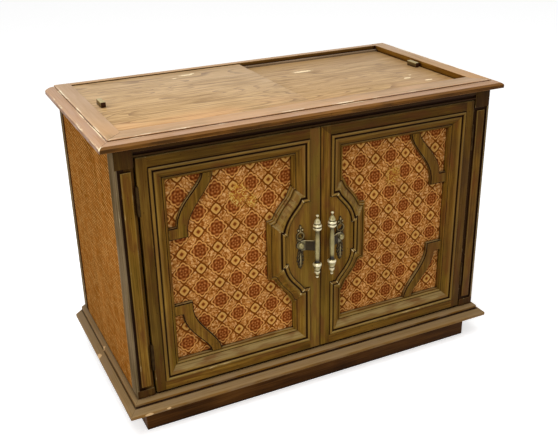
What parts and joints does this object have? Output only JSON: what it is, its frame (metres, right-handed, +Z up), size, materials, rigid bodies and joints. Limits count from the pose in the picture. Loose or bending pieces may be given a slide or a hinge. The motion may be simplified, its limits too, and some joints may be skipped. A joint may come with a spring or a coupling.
{
  "type": "record player cabinet",
  "caption": "Low gramophone cabinet on a plinth: cloth-fronted hinged doors with notched mouldings and turned pulls, and by-pass gliding panels in a bevelled top.",
  "frame": {"origin": "on the floor, midway across the width and midway from the front of the pull bars to the back", "axes": "+X across the front to the viewer's right, +Y from the front to the back, +Z up"},
  "size_m": [0.965, 0.5047, 0.7015],
  "materials": {
    "antiqued_front_wood": "olive-brown stain with dark glaze in the grooves",
    "dark_stained_wood": "dark brown stain",
    "top_laminate": "worn walnut grain laminate",
    "side_veneer": "orange-brown grained veneer",
    "inner_board": "plain chipboard and hardboard",
    "grille_cloth": "printed lattice weave",
    "antique_pull_metal": "antiqued, pale worn highlights",
    "plated_steel": "zinc plated",
    "chromed_steel": "polished",
    "speaker_paper": "pressed paper cone",
    "deck_enamel": "satin enamel",
    "cast_platter": "turned",
    "arm_tube": "satin anodised",
    "mat_rubber": "ribbed",
    "knob_plastic": "moulded, gilt colour"
  },
  "bodies": {
    "cabinet": {"plinth_front": "dark_stained_wood", "plinth_back": "dark_stained_wood", "plinth_left": "dark_stained_wood", "plinth_right": "dark_stained_wood", "base_moulding_front": "antiqued_front_wood", "base_moulding_left": "antiqued_front_wood", "base_moulding_right": "antiqued_front_wood", "bottom_board": "inner_board", "left_side_panel": "side_veneer", "right_side_panel": "side_veneer", "left_front_post": "antiqued_front_wood", "right_front_post": "antiqued_front_wood", "left_rear_post": "antiqued_front_wood", "right_rear_post": "antiqued_front_wood", "front_top_rail": "antiqued_front_wood", "well_front_board": "inner_board", "back_panel": "inner_board", "back_panel_screws": "plated_steel", "top_frame_front": "top_laminate", "top_frame_back": "top_laminate", "top_frame_left": "top_laminate", "top_frame_right": "top_laminate", "front_panel_track": "inner_board", "back_panel_track": "inner_board", "motor_board": "inner_board", "left_divider": "inner_board", "right_divider": "inner_board", "left_speaker_baffle": "inner_board", "right_speaker_baffle": "inner_board", "left_speaker": "speaker_paper", "right_speaker": "speaker_paper", "ball_catches": "plated_steel", "cabinet_hinge_leaves": "antique_pull_metal", "deck_plate": "deck_enamel", "centre_spindle": "chromed_steel", "amplifier": "deck_enamel"},
    "platter": {"platter": "cast_platter", "platter_mat": "mat_rubber"},
    "tonearm_pivot": {"tonearm_pivot": "deck_enamel"},
    "tonearm": {"tonearm": "arm_tube"},
    "volume_knob": {"volume_knob": "knob_plastic"},
    "tone_knob": {"tone_knob": "knob_plastic"},
    "left_top_panel": {"left_top_panel": "top_laminate", "left_panel_pull": "dark_stained_wood"},
    "right_top_panel": {"right_top_panel": "top_laminate", "right_panel_pull": "dark_stained_wood"},
    "left_door": {"left_door_frame": "antiqued_front_wood", "left_door_moulding": "antiqued_front_wood", "left_door_braces": "antiqued_front_wood", "left_grille_cloth": "grille_cloth", "left_pull_plate": "antique_pull_metal", "left_pull_bar": "antique_pull_metal", "left_door_hinge_leaves": "antique_pull_metal"},
    "right_door": {"right_door_frame": "antiqued_front_wood", "right_door_moulding": "antiqued_front_wood", "right_door_braces": "antiqued_front_wood", "right_grille_cloth": "grille_cloth", "right_pull_plate": "antique_pull_metal", "right_pull_bar": "antique_pull_metal", "right_door_hinge_leaves": "antique_pull_metal"}
  },
  "joints": [
    {"name": "left_door_hinge", "type": "hinge", "parent": "cabinet", "child": "left_door", "pos_m": [-0.41325, -0.22115, 0.3735], "axis": [0, 0, -1], "range_deg": [0, 110]},
    {"name": "right_door_hinge", "type": "hinge", "parent": "cabinet", "child": "right_door", "pos_m": [0.41325, -0.22115, 0.3735], "axis": [0, 0, 1], "range_deg": [0, 110]},
    {"name": "left_panel_slide", "type": "slide", "parent": "cabinet", "child": "left_top_panel", "axis": [1, 0, 0], "range_m": [0, 0.38]},
    {"name": "right_panel_slide", "type": "slide", "parent": "cabinet", "child": "right_top_panel", "axis": [1, 0, 0], "range_m": [-0.38, 0]},
    {"name": "platter_spin", "type": "hinge", "parent": "cabinet", "child": "platter", "pos_m": [-0.239, 0.03235, 0.5769], "axis": [0, 0, 1], "continuous": true},
    {"name": "tonearm_swing", "type": "hinge", "parent": "cabinet", "child": "tonearm_pivot", "pos_m": [-0.0925, 0.11835, 0.6039], "axis": [0, 0, -1], "range_deg": [0, 45]},
    {"name": "tonearm_lift", "type": "hinge", "parent": "tonearm_pivot", "child": "tonearm", "pos_m": [-0.0925, 0.11835, 0.6039], "axis": [-1, 0, 0], "range_deg": [0, 12]},
    {"name": "volume_turn", "type": "hinge", "parent": "cabinet", "child": "volume_knob", "pos_m": [0.157, -0.09015, 0.575], "axis": [0, 0, 1], "range_deg": [0, 270]},
    {"name": "tone_turn", "type": "hinge", "parent": "cabinet", "child": "tone_knob", "pos_m": [0.277, -0.09015, 0.575], "axis": [0, 0, 1], "range_deg": [0, 270]}
  ]
}
